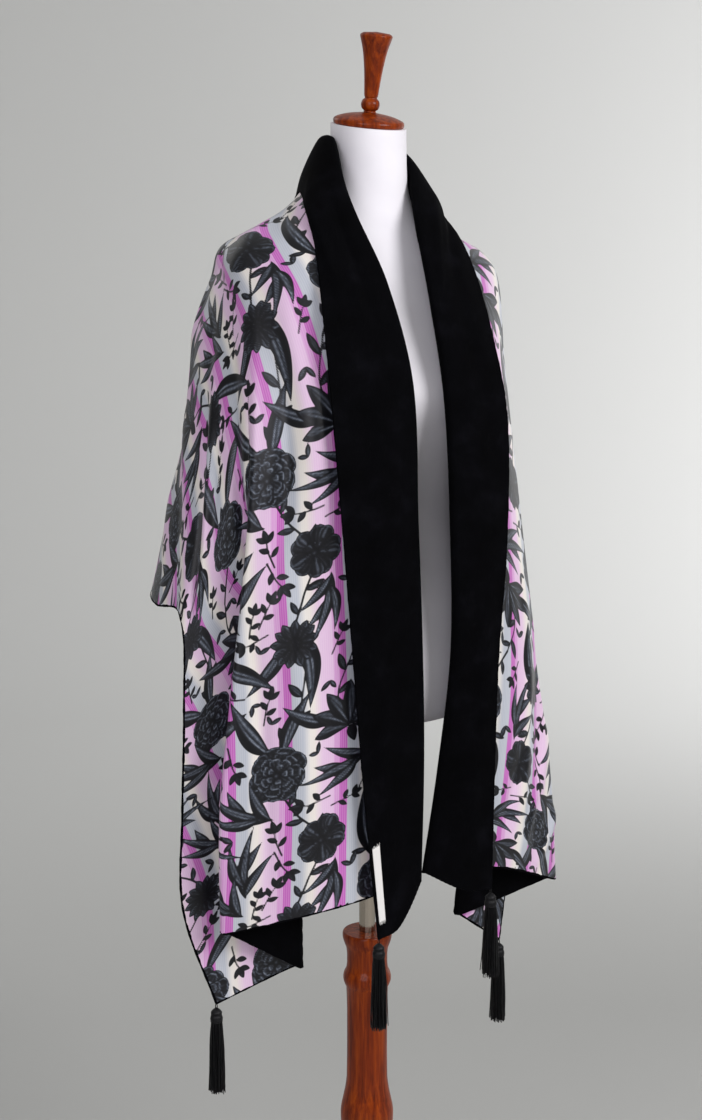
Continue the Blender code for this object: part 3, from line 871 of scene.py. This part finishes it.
def printed_silk():
    """Silk satin, woven smooth and printed: crisp soft-coloured stripes under dark flowers whose
    petals carry fine grey light, with a low, broad sheen."""
    made, tree, shader = finish_named("silk satin, woven and printed", {
        "Roughness": 0.36, "Specular IOR Level": 0.34, "Sheen Weight": 0.04, "Sheen Roughness": 0.35,
    })
    cut = node(tree, "Attribute", {"attribute_name": "cut"}).outputs["Vector"]
    across = node(tree, "SeparateXYZ", inputs={0: cut}).outputs["X"]

    # The ground: stripes from their place in the repeat, with fine pale lines over them
    moved = node(tree, "Math", {"operation": "SUBTRACT"}, {0: across, 1: STRIPES_FROM})
    repeats = node(tree, "Math", {"operation": "DIVIDE"}, {
        0: moved.outputs[0], 1: STRIPES_REPEAT,
    })
    share = node(tree, "Math", {"operation": "FRACT"}, {0: repeats.outputs[0]})
    stripes = node(tree, "ValToRGB", inputs={"Fac": share.outputs[0]}, stops=STRIPES)
    round_lines = node(tree, "Math", {"operation": "MULTIPLY"}, {
        0: across, 1: 2 * math.pi / LINES_REPEAT,
    })
    waved = node(tree, "Math", {"operation": "SINE"}, {0: round_lines.outputs[0]})
    lines = node(tree, "Math", {"operation": "MULTIPLY_ADD"}, {
        0: waved.outputs[0], 1: LINES_LIGHT, 2: LINES_LIGHT,
    })
    ground = node(tree, "Mix", {"data_type": "RGBA"}, {
        0: lines.outputs[0], 6: stripes.outputs["Color"], 7: linear("#f6f0ee"),
    })

    # The dark motifs: black where ink is below zero, with grey light that a fine brush breaks up
    ink = node(tree, "Attribute", {"attribute_name": "ink"})
    inked = node(tree, "MapRange", {"interpolation_type": "SMOOTHSTEP"}, {
        "Value": ink.outputs["Fac"], "From Min": INK_EDGE, "From Max": -INK_EDGE,
    })
    tone = node(tree, "Attribute", {"attribute_name": "tone"})
    brush = node(tree, "TexNoise", inputs={
        "Vector": cut, "Scale": 1 / STROKE_WIDE, "Detail": 2.0,
    })
    strokes = node(tree, "Math", {"operation": "MULTIPLY_ADD"}, {
        0: brush.outputs["Fac"], 1: 0.9, 2: 0.55,
    })
    brushed = node(tree, "Math", {"operation": "MULTIPLY"}, {
        0: tone.outputs["Fac"], 1: strokes.outputs[0],
    })
    dark = node(tree, "ValToRGB", inputs={"Fac": brushed.outputs[0]}, stops=(
        (0.0, "#0e0e12"), (0.25, "#1a1b20"), (0.6, "#444953"), (1.0, "#7d8490"),
    ))
    colour = node(tree, "Mix", {"data_type": "RGBA"}, {
        0: inked.outputs["Result"], 6: ground.outputs[2], 7: dark.outputs["Color"],
    })
    tree.links.new(colour.outputs[2], shader.inputs["Base Color"])

    # The weave, drawn coarser than satin's real threads so that it shows at all
    thread_wide = 0.9 * MM
    weave = node(tree, "TexWave", {"bands_direction": "Y"}, {
        "Vector": cut,
        "Scale": WAVE_AT_1M / thread_wide,
        "Distortion": 1.5,
        "Detail": 2.0,
        "Detail Scale": 40.0,
    })
    bump = node(tree, "Bump", inputs={
        "Strength": 0.12, "Distance": 0.2 * MM, "Height": weave.outputs["Fac"],
    })
    tree.links.new(bump.outputs["Normal"], shader.inputs["Normal"])
    return made


def velvet():
    """Silk velvet with a short cut pile: very deep black, with a faint light where the pile turns."""
    made, tree, shader = finish_named("silk velvet, cut pile, dyed black", {
        "Roughness": 0.95,
        "Specular IOR Level": 0.04,
        "Sheen Weight": 0.035,
        "Sheen Roughness": 0.25,
        "Sheen Tint": linear("#9a9aa4"),
    })
    place = node(tree, "TexCoord").outputs["Object"]
    brushed_patch = 38.5 * MM
    nap = node(tree, "TexNoise", inputs={
        "Vector": place, "Scale": 1 / brushed_patch, "Detail": 4.0, "Roughness": 0.6,
    })
    colour = node(tree, "ValToRGB", inputs={"Fac": nap.outputs["Fac"]}, stops=(
        (0.3, "#030304"), (0.55, "#050507"), (0.75, "#0b0b0f"),
    ))
    tree.links.new(colour.outputs["Color"], shader.inputs["Base Color"])
    tuft_wide = 1.1 * MM
    pile = node(tree, "TexNoise", inputs={
        "Vector": place, "Scale": 1 / tuft_wide, "Detail": 1.0,
    })
    bump = node(tree, "Bump", inputs={
        "Strength": 0.35, "Distance": 0.4 * MM, "Height": pile.outputs["Fac"],
    })
    tree.links.new(bump.outputs["Normal"], shader.inputs["Normal"])
    return made


def tassel_thread():
    """Rayon thread, twisted and dyed black, with a thin gloss along each thread."""
    made, tree, shader = finish_named("rayon thread, twisted, dyed black", {
        "Roughness": 0.5, "Specular IOR Level": 0.25, "Anisotropic": 0.5,
    })
    place = node(tree, "TexCoord").outputs["Object"]
    twist = 1.43 * MM
    fine = node(tree, "TexNoise", inputs={"Vector": place, "Scale": 1 / twist, "Detail": 2.0})
    colour = node(tree, "ValToRGB", inputs={"Fac": fine.outputs["Fac"]}, stops=(
        (0.3, "#050506"), (0.7, "#141417"),
    ))
    tree.links.new(colour.outputs["Color"], shader.inputs["Base Color"])
    return made


def jersey():
    """White cotton jersey stretched over the form: matte, with its fine knit just visible."""
    made, tree, shader = finish_named("cotton jersey, knitted, stretched smooth", {
        "Roughness": 0.85, "Sheen Weight": 0.2,
    })
    place = node(tree, "TexCoord").outputs["Object"]
    stretched_patch = 71.5 * MM
    soft = node(tree, "TexNoise", inputs={
        "Vector": place, "Scale": 1 / stretched_patch, "Detail": 3.0,
    })
    colour = node(tree, "ValToRGB", inputs={"Fac": soft.outputs["Fac"]}, stops=(
        (0.3, "#eae7ec"), (0.7, "#f4f1f5"),
    ))
    tree.links.new(colour.outputs["Color"], shader.inputs["Base Color"])
    stitch = 1.2 * MM
    knit = node(tree, "TexVoronoi", inputs={"Vector": place, "Scale": 1 / stitch})
    bump = node(tree, "Bump", inputs={
        "Strength": 0.10, "Distance": 0.2 * MM, "Height": knit.outputs["Distance"],
    })
    tree.links.new(bump.outputs["Normal"], shader.inputs["Normal"])
    return made


def lacquered_beech():
    """Beech turned on a lathe, stained red-brown and lacquered: long grain under a clear gloss."""
    made, tree, shader = finish_named("beech, turned, stained and lacquered", {
        "Roughness": 0.40, "Specular IOR Level": 0.12, "Coat Weight": 0.2, "Coat Roughness": 0.08,
    })
    place = node(tree, "TexCoord").outputs["Object"]
    grain_wide = 5.0 * MM
    fleck_wide = 1.2 * MM
    drawn = node(tree, "Mapping", inputs={
        "Vector": place, "Scale": (1.0, 1.0, 0.06),
    }).outputs["Vector"]
    grain = node(tree, "TexNoise", inputs={
        "Vector": drawn, "Scale": 1 / grain_wide, "Detail": 5.0, "Roughness": 0.62, "Distortion": 0.4,
    })
    fleck = node(tree, "TexNoise", inputs={
        "Vector": drawn, "Scale": 1 / fleck_wide, "Detail": 2.0,
    })
    stained = node(tree, "ValToRGB", inputs={"Fac": grain.outputs["Fac"]}, stops=(
        (0.25, "#4a1603"), (0.45, "#7d2c05"), (0.62, "#a04206"), (0.8, "#b7560c"),
    ))
    share = node(tree, "Math", {"operation": "MULTIPLY"}, {0: fleck.outputs["Fac"], 1: 0.35})
    colour = node(tree, "Mix", {"data_type": "RGBA", "blend_type": "MULTIPLY"}, {
        0: share.outputs[0], 6: stained.outputs["Color"], 7: linear("#6e2a0c"),
    })
    tree.links.new(colour.outputs[2], shader.inputs["Base Color"])
    bump = node(tree, "Bump", inputs={
        "Strength": 0.06, "Distance": 0.3 * MM, "Height": grain.outputs["Fac"],
    })
    tree.links.new(bump.outputs["Normal"], shader.inputs["Normal"])
    return made


def plated_steel():
    """Steel tube, polished and nickel plated, with faint lengthwise wear."""
    made, tree, shader = finish_named("steel tube, polished and nickel plated", {
        "Base Color": linear("#b0a698"), "Metallic": 1.0,
    })
    place = node(tree, "TexCoord").outputs["Object"]
    drawn = node(tree, "Mapping", inputs={
        "Vector": place, "Scale": (1.0, 1.0, 0.02),
    }).outputs["Vector"]
    scratch_wide = 1.11 * MM
    wear = node(tree, "TexNoise", inputs={
        "Vector": drawn, "Scale": 1 / scratch_wide, "Detail": 2.0,
    })
    rough = node(tree, "Math", {"operation": "MULTIPLY_ADD"}, {
        0: wear.outputs["Fac"], 1: 0.12, 2: 0.10,
    })
    tree.links.new(rough.outputs[0], shader.inputs["Roughness"])
    return made


def woven_tape():
    """White polyester tape, woven with a fine rib, with nothing on it."""
    made, tree, shader = finish_named("polyester tape, woven, blank", {"Roughness": 0.6})
    place = node(tree, "TexCoord").outputs["Object"]
    rib_wide = 1.1 * MM
    rib = node(tree, "TexWave", {"bands_direction": "Z"}, {
        "Vector": place, "Scale": WAVE_AT_1M / rib_wide,
    })
    colour = node(tree, "ValToRGB", inputs={"Fac": rib.outputs["Fac"]}, stops=(
        (0.0, "#e4e1dc"), (1.0, "#efedea"),
    ))
    tree.links.new(colour.outputs["Color"], shader.inputs["Base Color"])
    bump = node(tree, "Bump", inputs={
        "Strength": 0.2, "Distance": 0.1 * MM, "Height": rib.outputs["Fac"],
    })
    tree.links.new(bump.outputs["Normal"], shader.inputs["Normal"])
    return made


# The stretches of cloth. Shares across count from the fold at 0 to the lower edge at 1 and the
# band's edge at -1, and a width is the cut's, in metres, over that stretch.
BODY_SHARES = (0.0, 1.0)
BAND_SHARES = (-1.0, 0.0)
WHOLE_SHARES = (-1.0, 1.0)
# name, ends along the fold, shares across, CAD node, width, grid step
PRINT_PIECES = (
    ("silk_right_hem", (-HEM, -CHEST), BODY_SHARES, "silk_right_front", 0.47, PRINT_STEP),
    ("silk_right_chest", (-CHEST, -SHOULDER), BODY_SHARES, "silk_right_front", 0.42, PRINT_STEP),
    ("silk_nape", (-SHOULDER, SHOULDER), BODY_SHARES, "silk_back", 0.45, NAPE_STEP),
    ("silk_left_chest", (SHOULDER, CHEST), BODY_SHARES, "silk_left_front", 0.37, PRINT_STEP),
    ("silk_left_hem", (CHEST, HEM), BODY_SHARES, "silk_left_front", 0.43, PRINT_STEP),
    ("silk_band_lining", (-HEM, HEM), BAND_SHARES, "silk_back", BAND_WIDTH, PLAIN_STEP),
)
# name, ends along the fold, CAD node, width
VELVET_PIECES = (
    ("velvet_right", (-HEM, -SHOULDER), "velvet_right_front", 0.52),
    ("velvet_nape", (-SHOULDER, SHOULDER), "velvet_back", 0.52),
    ("velvet_left", (SHOULDER, HEM), "velvet_left_front", 0.50),
)
# CAD node, place along the fold, and 1 on the lower edge or -1 on the band's
TASSEL_PLACES = (
    ("tassel_right_lower", -HEM, 1),
    ("tassel_right_band", -HEM, -1),
    ("tassel_left_band", HEM, -1),
    ("tassel_left_lower", HEM, 1),
)


def make_silk(finish, field):
    """The printed side and the silk behind the band, with the print held on their points."""
    for name, along_ends, shares, cad_node, width, step in PRINT_PIECES:
        points, normals, cut = cloth_grid(along_ends, shares, step)
        piece, (row, column) = grid_piece(name, points + normals * SILK_FACE, finish)
        places = cut[row, column]
        point_values(piece, "cut", np.column_stack((places, np.zeros(len(places)))))
        point_values(piece, "ink", sampled(field, field.out, places))
        point_values(piece, "tone", sampled(field, field.tone, places))
        ride_for(piece, cad_node)


def make_velvet(finish):
    """The velvet side: the inside of the wrap, and the face of the turned-out band."""
    rolls = make_edge_rolls(finish)
    for name, along_ends, cad_node, width in VELVET_PIECES:
        points, normals, _ = cloth_grid(along_ends, WHOLE_SHARES, PLAIN_STEP)
        piece, _ = grid_piece(name, points + normals * VELVET_FACE, finish)
        piece.data.flip_normals()
        ride_for(piece, cad_node)


def make_edge_rolls(finish):
    """The velvet turns round the silk's raw edge in a narrow roll along every side of the cut."""
    rolls = {}
    for name, along_ends, cad_node, _ in VELVET_PIECES:
        points, normals, _ = cloth_grid(along_ends, WHOLE_SHARES, PLAIN_STEP)
        sides = [(points[:, 0], normals[:, 0]), (points[:, -1], normals[:, -1])]
        sides += [(points[k], normals[k]) for k in (0, -1) if abs(along_ends[k]) == HEM]
        bm = bmesh.new()
        for path, beside in sides:
            gone = np.arange(len(path))
            radii = ROLL_RADIUS * (1 + 0.10 * np.sin(0.9 * gone) + 0.08 * np.sin(2.3 * gone + 1.0))
            add_grid(bm, rings(path, beside, radii, 8))
        roll = from_bmesh("edge_roll_" + name, bm, finish)
        ride_for(roll, cad_node)
        rolls[cad_node] = [roll]
    return rolls


def corner_of(along, edge):
    """The corner of the cloth at a hem, on the lower edge where edge is 1 and on the band at -1."""
    points, _ = sections(np.array((along,)))
    return points[0, -1 if edge > 0 else 0] * MM


def add_cord(bm, path, beside, radius, sides):
    """A thin cord along a path. beside is one direction that points away from all of it."""
    add_grid(bm, rings(path, np.tile(beside, (len(path), 1)), radius, sides))


def add_bound_head(bm):
    """The tassel's head: two ribbed bulges, each bound below by a ring of thread."""
    for vert in spun(bm, eased(TASSEL_HEAD), 28):
        turn = math.atan2(vert.co.y, vert.co.x)
        ribbed = 1 + RIB_DEPTH * math.sin(HEAD_RIBS * turn)
        vert.co.x *= ribbed
        vert.co.y *= ribbed
    turns = np.linspace(0, 2 * math.pi, 37)
    for reach, height in BINDINGS:
        heights = np.full_like(turns, height)
        path = np.column_stack((np.cos(turns) * reach, np.sin(turns) * reach, heights)) * MM
        add_cord(bm, path, (0.0, 0.0, 1.0), BINDING_RADIUS, 6)


def add_loop(bm):
    """The two strands of the loop that the head hangs from."""
    heights = np.linspace(-2 * MM, LOOP_LENGTH + 1 * MM, 9)
    spread = LOOP_HALF_WIDE * np.sin(np.linspace(0.3, math.pi, 9))
    for side in (-1, 1):
        path = np.column_stack((side * spread, np.zeros(9), heights))
        add_cord(bm, path, (0.0, 1.0, 0.0), LOOP_RADIUS, 5)


def add_skirt(bm, rng):
    """The skirt: loose threads spread evenly under the head, each straying a little as it falls."""
    down = np.linspace(0, 1, 8)
    flare = SKIRT_TOP + (SKIRT_FOOT - SKIRT_TOP) * np.sin(down * math.pi / 2) ** 0.7
    for k in range(TASSEL_THREADS):
        reach = math.sqrt((k + 0.5) / TASSEL_THREADS)
        turn = k * GOLDEN_TURN
        length = TASSEL_LENGTH * (0.93 + 0.07 * rng.random()) * (1 - 0.02 * reach)
        stray = THREAD_STRAY * rng.normal(size=2)[None, :] * down[:, None] ** 2
        wave = THREAD_WAVE * np.sin(down * 7 + 6 * rng.random())
        path = np.column_stack((
            reach * flare * math.cos(turn) + stray[:, 0] + wave,
            reach * flare * math.sin(turn) + stray[:, 1],
            SKIRT_HIGH - down * (length + SKIRT_HIGH),
        ))
        add_cord(bm, path, (1.0, 0.0, 0.0), THREAD_RADIUS, 3)


def make_tassels(finish):
    """A tassel at each corner, hung from the cloth by its loop."""
    rng = np.random.default_rng(7)
    for cad_node, along, edge in TASSEL_PLACES:
        bm = bmesh.new()
        add_bound_head(bm)
        add_loop(bm)
        add_skirt(bm, rng)
        top = corner_of(along, edge) - (0, 0, LOOP_LENGTH)
        bmesh.ops.translate(bm, verts=bm.verts[:], vec=Vector(top))
        piece = from_bmesh(cad_node + "_threads", bm, finish)
        ride_for(piece, cad_node)


def frayed_ends(laid, outwards, finish):
    """Short loose threads at both ends of the tape, from its grid and the way that it faces."""
    bm = bmesh.new()
    rng = np.random.default_rng(11)
    down = np.linspace(0, 1, 4)[:, None]
    for end, next_row in ((0, 1), (-1, -2)):
        ahead = unit(laid[end] - laid[next_row])
        for k in range(laid.shape[1]):
            reach = (1.2 + 2.2 * rng.random()) * MM
            stray = rng.normal(size=3) * FRAY_STRAY * down ** 2
            path = laid[end, k] + ahead[k] * reach * down + stray
            add_cord(bm, path, outwards[end, 0], FRAY_RADIUS, 3)
    return from_bmesh("label_frayed_ends", bm, finish)


def make_label(finish):
    """A blank strip of woven tape, sewn on the velvet beside the band's edge, with frayed ends."""
    points, _ = sections(np.linspace(*LABEL_ALONG, 60))
    counts = np.linspace(0, LAST_KNOT, points.shape[1])
    wanted = np.linspace(*LABEL_ACROSS, 14)
    laid = np.empty((len(points), len(wanted), 3))
    for k, section in enumerate(points):
        for axis in range(3):
            laid[k, :, axis] = np.interp(wanted, counts, section[:, axis])
    first = int(round(LABEL_ACROSS[0] * SAMPLES_PER_SPAN))
    outwards = grid_normals(points)[:, [first]]
    laid = laid * MM + outwards * LABEL_FACE
    piece, _ = grid_piece("label_tape", laid, finish)
    piece.data.flip_normals()
    wall = piece.modifiers.new("wall", "SOLIDIFY")
    wall.thickness = LABEL_WALL
    wall.offset = -1.0
    frayed = frayed_ends(laid, outwards, finish)
    ride_for(piece, "label")
    ride_for(frayed, "label")


def make_stand(wood, steel):
    """The turned cap, finial, post and base, and the rod, which keeps its solid."""
    tilt = Matrix.Translation((0, 0, NECK_TOP)) @ Matrix.Rotation(NECK_TILT, 4, "X")
    turned_parts = (
        ("cap_turned", CAP, "neck_cap", tilt, 2),
        ("finial_turned", FINIAL, "neck_finial", tilt, 2),
        ("post_turned", POST, "stand_post", None, 1),
        ("base_turned", BASE, "stand_base", None, 2),
    )
    for name, profile, cad_node, place, rounds in turned_parts:
        piece = turned(name, eased(profile, rounds), wood, place)
        ride_for(piece, cad_node)
    rod = bpy.data.objects["stand_rod"]
    rod.data.materials.clear()
    rod.data.materials.append(steel)


def make_torso(finish):
    """The form's smooth body, from the same heights and breadths as its solid."""
    heights = np.array([row[0] for row in TORSO], float)
    breadths = np.array([row[1:] for row in TORSO], float)
    levels = np.linspace(heights[0], heights[-1], TORSO_LEVELS)
    half_wide, half_deep, middle_y = (spline(breadths, heights, levels)[:, [k]] for k in range(3))
    turns = np.linspace(0, 2 * math.pi, TORSO_SIDES)
    x = half_wide * np.cos(turns) * MM
    y = (middle_y + half_deep * np.sin(turns)) * MM
    tilted = np.clip((levels * MM - TILT_FROM) / (NECK_TOP - TILT_FROM), 0, 1)[:, None]
    z = levels[:, None] * MM + y * math.tan(NECK_TILT) * tilted
    piece, _ = grid_piece("form_cover", np.stack((x, y, z), axis=2), finish)
    bm = bmesh.new()
    bm.from_mesh(piece.data)
    bmesh.ops.remove_doubles(bm, verts=bm.verts[:], dist=0.02 * MM)
    rims = [edge for edge in bm.edges if edge.is_boundary]
    bmesh.ops.holes_fill(bm, edges=rims, sides=0)
    bmesh.ops.recalc_face_normals(bm, faces=bm.faces[:])
    bm.to_mesh(piece.data)
    bm.free()
    piece.data.shade_smooth()
    piece.data.set_sharp_from_angle(angle=SHARP_FROM)
    ride_for(piece, "form_torso")


def make_stage():
    """A pale floor that curves up into a plain wall all round, like a photographer's cove."""
    bends = np.radians(np.linspace(0, 90, 33))
    profile = [(0, 0)]
    profile += [(COVE_FLAT + COVE_BEND * math.sin(a), COVE_BEND * (1 - math.cos(a))) for a in bends]
    profile += [(COVE_FLAT + COVE_BEND, COVE_HIGH)]
    floor = turned("floor_cove", profile, studio_paint())
    floor.data.shade_smooth()


def studio_paint():
    """Pale matte wall paint, with nothing on it."""
    made, _, _ = finish_named("plaster, painted, pale and matte", {
        "Base Color": linear("#bbbbb8"), "Roughness": 0.95,
    })
    return made


def area_light(name, place, target, size, power, colour):
    """A soft round lamp, turned to its target and unseen by the camera."""
    data = bpy.data.lights.new(name, "AREA")
    data.shape = "DISK"
    data.size = size
    data.energy = power
    data.color = linear(colour)[:3]
    lamp = bpy.data.objects.new(name, data)
    lamp.location = place
    lamp.visible_camera = False
    lamp.rotation_euler = (Vector(target) - Vector(place)).to_track_quat("-Z", "Y").to_euler()
    bpy.context.scene.collection.objects.link(lamp)


def make_light():
    """Soft studio light: a large key from the front right, a fill, and two lamps for the wall."""
    world = bpy.data.worlds.new("studio air")
    world.use_nodes = True
    air = world.node_tree.nodes["Background"]
    air.inputs["Color"].default_value = linear("#dfe0e0")
    air.inputs["Strength"].default_value = AIR_STRENGTH
    bpy.context.scene.world = world
    for row in LIGHTS:
        area_light(*row)


def make_camera():
    """The camera, where the photograph's stood."""
    data = bpy.data.cameras.new("photo camera")
    data.sensor_width = SENSOR
    data.lens = FOCAL_PIXELS / FRAME_HIGH * SENSOR
    data.clip_start = 0.05
    camera = bpy.data.objects.new("photo camera", data)
    yaw = CAMERA_AZIMUTH + math.atan((AXIS_PIXEL_X - FRAME_MIDDLE_X) / FOCAL_PIXELS)
    camera.location = (
        math.sin(CAMERA_AZIMUTH) * CAMERA_DISTANCE,
        -math.cos(CAMERA_AZIMUTH) * CAMERA_DISTANCE,
        CAMERA_HEIGHT,
    )
    camera.rotation_euler = (math.radians(90) - CAMERA_PITCH, 0, yaw)
    bpy.context.scene.collection.objects.link(camera)
    bpy.context.scene.camera = camera


def main():
    make_camera()
    make_silk(printed_silk(), draw_print())
    make_velvet(velvet())
    make_tassels(tassel_thread())
    make_label(woven_tape())
    make_torso(jersey())
    make_stand(lacquered_beech(), plated_steel())
    make_stage()
    make_light()
    bpy.context.scene.view_settings.view_transform = "Standard"


main()
